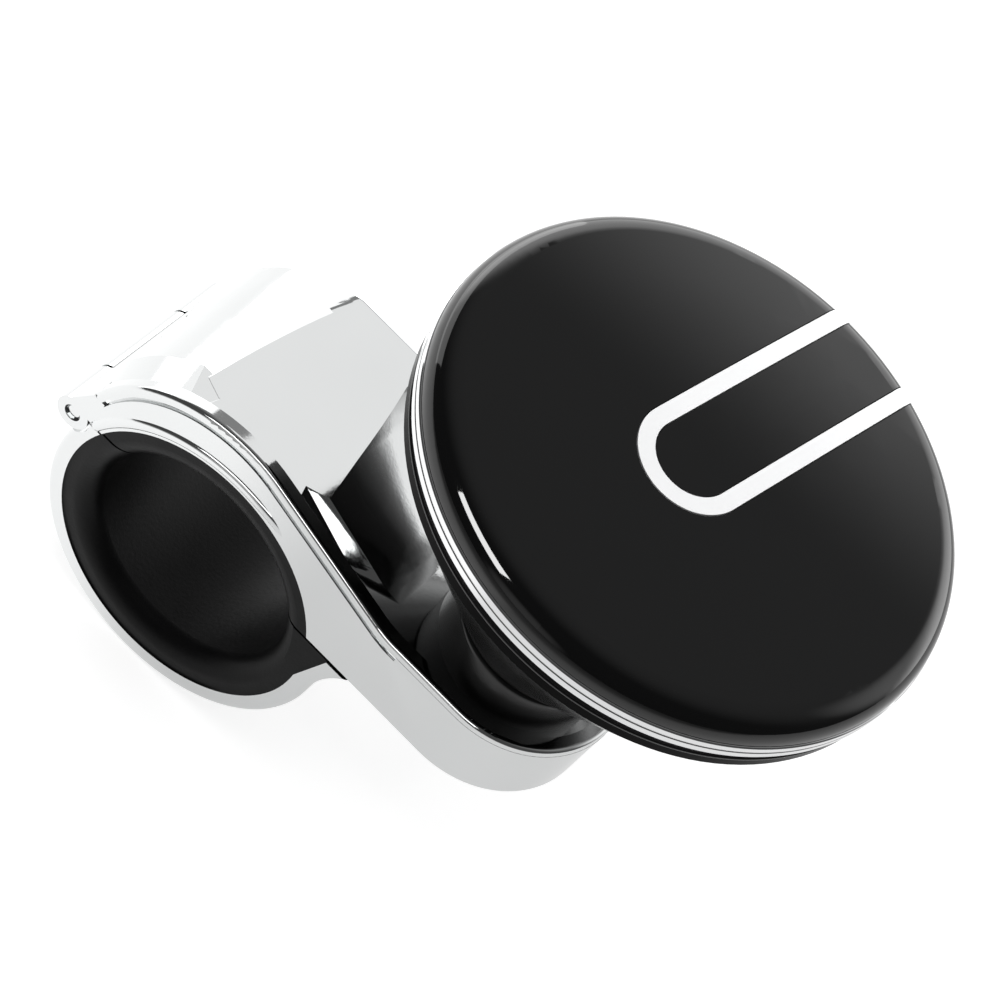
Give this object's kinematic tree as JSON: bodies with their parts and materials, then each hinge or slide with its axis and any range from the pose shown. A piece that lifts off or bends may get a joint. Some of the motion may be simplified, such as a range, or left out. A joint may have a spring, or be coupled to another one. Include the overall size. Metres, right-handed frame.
{
  "type": "steering wheel spinner knob",
  "caption": "Spinner knob for a steering wheel: a black domed knob with a chrome band and inlay, turning on a chromed hinged rim clamp lined with rubber.",
  "frame": {"origin": "centre of the clamp's rubber-lined bore, halfway along its length", "axes": "+Y along the bore and the wheel's rim, +Z parallel to the knob's axis towards its cap, +X from the bore to the knob's axis"},
  "size_m": [0.0784, 0.055, 0.0725],
  "materials": {
    "chrome_casting": "bright chrome plating on a zinc die casting",
    "chrome_trim": "bright chrome plating",
    "liner_rubber": "moulded black rubber with a dull skin",
    "cap_black": "polished black moulding",
    "skirt_black": "polished black moulding",
    "collar_black": "satin black moulding",
    "bush_plastic": "natural white acetal",
    "screw_steel": "zinc plated steel",
    "turned_steel": "turned steel",
    "spring_steel": "blued spring steel",
    "bearing_steel": "ground bearing steel",
    "cage_steel": "pressed sheet steel"
  },
  "bodies": {
    "clamp": {"clamp_body": "chrome_casting", "upper_liner": "liner_rubber", "hinge_pin": "screw_steel", "spindle": "turned_steel", "spindle_screw": "screw_steel", "spindle_washer": "screw_steel", "base_collar": "collar_black", "bearing_inner_race": "bearing_steel", "retaining_washer": "turned_steel", "retaining_ring": "spring_steel"},
    "jaw": {"clamp_jaw": "chrome_casting", "lower_liner": "liner_rubber"},
    "screw": {"clamp_screw": "screw_steel", "lock_washer": "screw_steel"},
    "knob": {"knob_skirt": "skirt_black", "knob_cap": "cap_black", "chrome_band": "chrome_trim", "u_inlay": "chrome_trim", "cap_screws": "screw_steel", "lower_bush": "bush_plastic", "bearing_outer_race": "bearing_steel", "lower_shield": "cage_steel", "upper_shield": "cage_steel"},
    "cage": {"bearing_cage": "cage_steel", "bearing_balls": "bearing_steel"}
  },
  "joints": [
    {"name": "knob_spin", "type": "hinge", "parent": "clamp", "child": "knob", "pos_m": [0.0305, 0, 0], "axis": [0, 0, 1], "continuous": true},
    {"name": "cage_spin", "type": "hinge", "parent": "clamp", "child": "cage", "pos_m": [0.0305, 0, 0], "axis": [0, 0, 1], "continuous": true},
    {"name": "jaw_swing", "type": "hinge", "parent": "clamp", "child": "jaw", "pos_m": [-0.01843, 0, 0.0054], "axis": [0, 1, 0], "range_deg": [0, 70]},
    {"name": "screw_turn", "type": "hinge", "parent": "jaw", "child": "screw", "pos_m": [0.023, 0, 0], "axis": [0, 0, 1], "continuous": true}
  ],
  "couplings": [
    {"joint": "cage_spin", "follows": "knob_spin", "ratio": 0.632}
  ]
}
